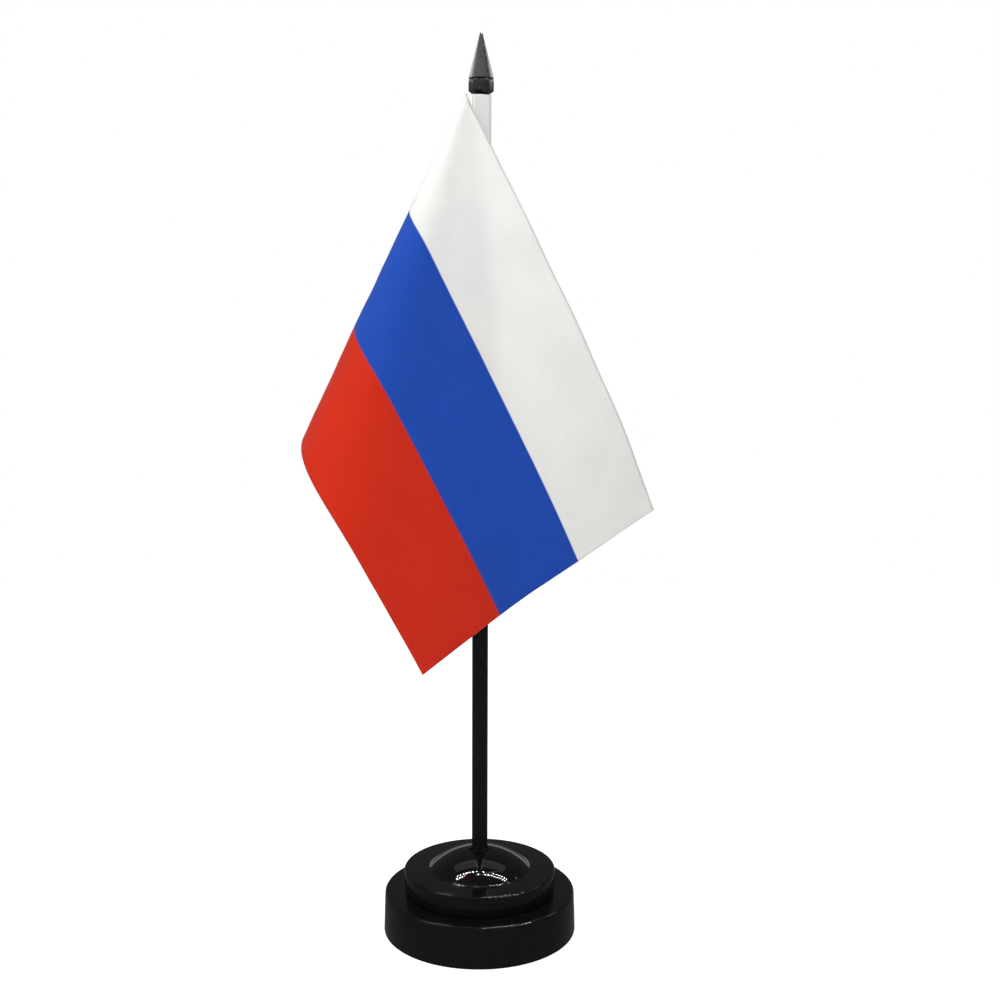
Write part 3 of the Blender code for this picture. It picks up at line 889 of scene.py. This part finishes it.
def make_led_rows():
    """Two rows of small lamps overhead, which only gloss shows."""
    mesh = bpy.data.meshes.new("led_rows")
    lamps = bmesh.new()
    count = int(2 * LED_HALF_LENGTH / LED_PITCH)
    middle, first_row = LED_PLACE
    for row in range(2):
        for i in range(count + 1):
            x = middle - LED_HALF_LENGTH + (i + 0.5 * row) * LED_PITCH
            made = bmesh.ops.create_circle(lamps, cap_ends=True, radius=LED_RADIUS, segments=8)
            place = (x, first_row + row * LED_ROW_GAP, LED_HEIGHT)
            bmesh.ops.translate(lamps, verts=made["verts"], vec=place)
    lamps.to_mesh(mesh)
    lamps.free()
    mesh.materials.append(stage_material("led", LED_WHITE, LED_GLOW))
    rows = bpy.data.objects.new("led_rows", mesh)
    bpy.context.scene.collection.objects.link(rows)
    rows.visible_camera = False
    rows.visible_diffuse = False
    rows.visible_shadow = False


def make_world():
    """White to the camera, a soft ambient light on matt surfaces, and a dim room in the gloss."""
    world = bpy.data.worlds.new("studio")
    bpy.context.scene.world = world
    world.use_nodes = True
    tree = world.node_tree
    tree.nodes.clear()
    rays = add(tree, "ShaderNodeLightPath").outputs
    dim = add(tree, "ShaderNodeBackground", {"Color": (1.0, 1.0, 0.98, 1.0), "Strength": GLOSS_ROOM})
    ambient = add(tree, "ShaderNodeBackground", {"Color": (0.98, 0.99, 1.0, 1.0), "Strength": AMBIENT})
    white = add(tree, "ShaderNodeBackground", {"Color": (1.0, 1.0, 1.0, 1.0), "Strength": 1.0})
    inputs = {0: rays["Is Glossy Ray"], 1: ambient.outputs[0], 2: dim.outputs[0]}
    room = add(tree, "ShaderNodeMixShader", inputs)
    inputs = {0: rays["Is Camera Ray"], 1: room.outputs[0], 2: white.outputs[0]}
    seen = add(tree, "ShaderNodeMixShader", inputs)
    add(tree, "ShaderNodeOutputWorld", {"Surface": seen.outputs[0]})


def make_studio():
    """The floor, world and lights. It returns the cards that are for the finial only."""
    make_world()
    make_floor()
    make_led_rows()
    for light in SOFT_LIGHTS:
        area_light(*light, glossy=False)
    for light in GLOSS_CARDS:
        area_light(*light, glossy=True)
    return [area_light(*light, glossy=True) for light in FINIAL_CARDS]


def light_only(lights, pieces):
    """Keeps these lights off everything but these pieces."""
    lit = bpy.data.collections.new("lit_by_finial_cards")
    for piece in pieces:
        lit.objects.link(piece)
    for light in lights:
        light.light_linking.receiver_collection = lit


def make_camera():
    camera = bpy.data.cameras.new("camera")
    camera.lens = CAMERA_LENS
    camera.clip_start = CAMERA_NEAR
    obj = bpy.data.objects.new("camera", camera)
    obj.location = CAMERA_PLACE
    turn = Matrix.Rotation(CAMERA_TIP, 3, "X") @ Matrix.Rotation(CAMERA_ROLL, 3, "Z")
    obj.rotation_euler = turn.to_euler()
    bpy.context.scene.collection.objects.link(obj)
    bpy.context.scene.camera = obj
    bpy.context.scene.view_settings.view_transform = "Standard"


def finish_hidden_metal():
    """The ballast, washer and screw keep their CAD solids and get their own metals."""
    iron = metal("cast_iron", CAST_IRON, grain=900.0, rough_low=0.5, rough_high=0.75, depth=0.05 * MM)
    zinc = metal("zinc_plate", ZINC_PLATE, grain=1600.0, rough_low=0.24, rough_high=0.4, depth=0.008 * MM)
    for name, material in (("ballast_disc", iron), ("screw_washer", zinc), ("lock_screw", zinc)):
        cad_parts[name].material_slots[0].material = material


def main():
    make_camera()
    finial_cards = make_studio()
    gloss = gloss_plastic()
    satin = satin_plastic()
    finial = finial_plastic()
    finish_hidden_metal()
    make_pad(foam_rubber())
    make_puck(gloss)
    make_disc(gloss)
    make_bush(satin)
    make_staff(satin)
    light_only(finial_cards, [make_collar(finial), make_point(finial)])
    flag, sleeve_length = make_flag()
    stitches = make_stitches(sewing_thread())


main()
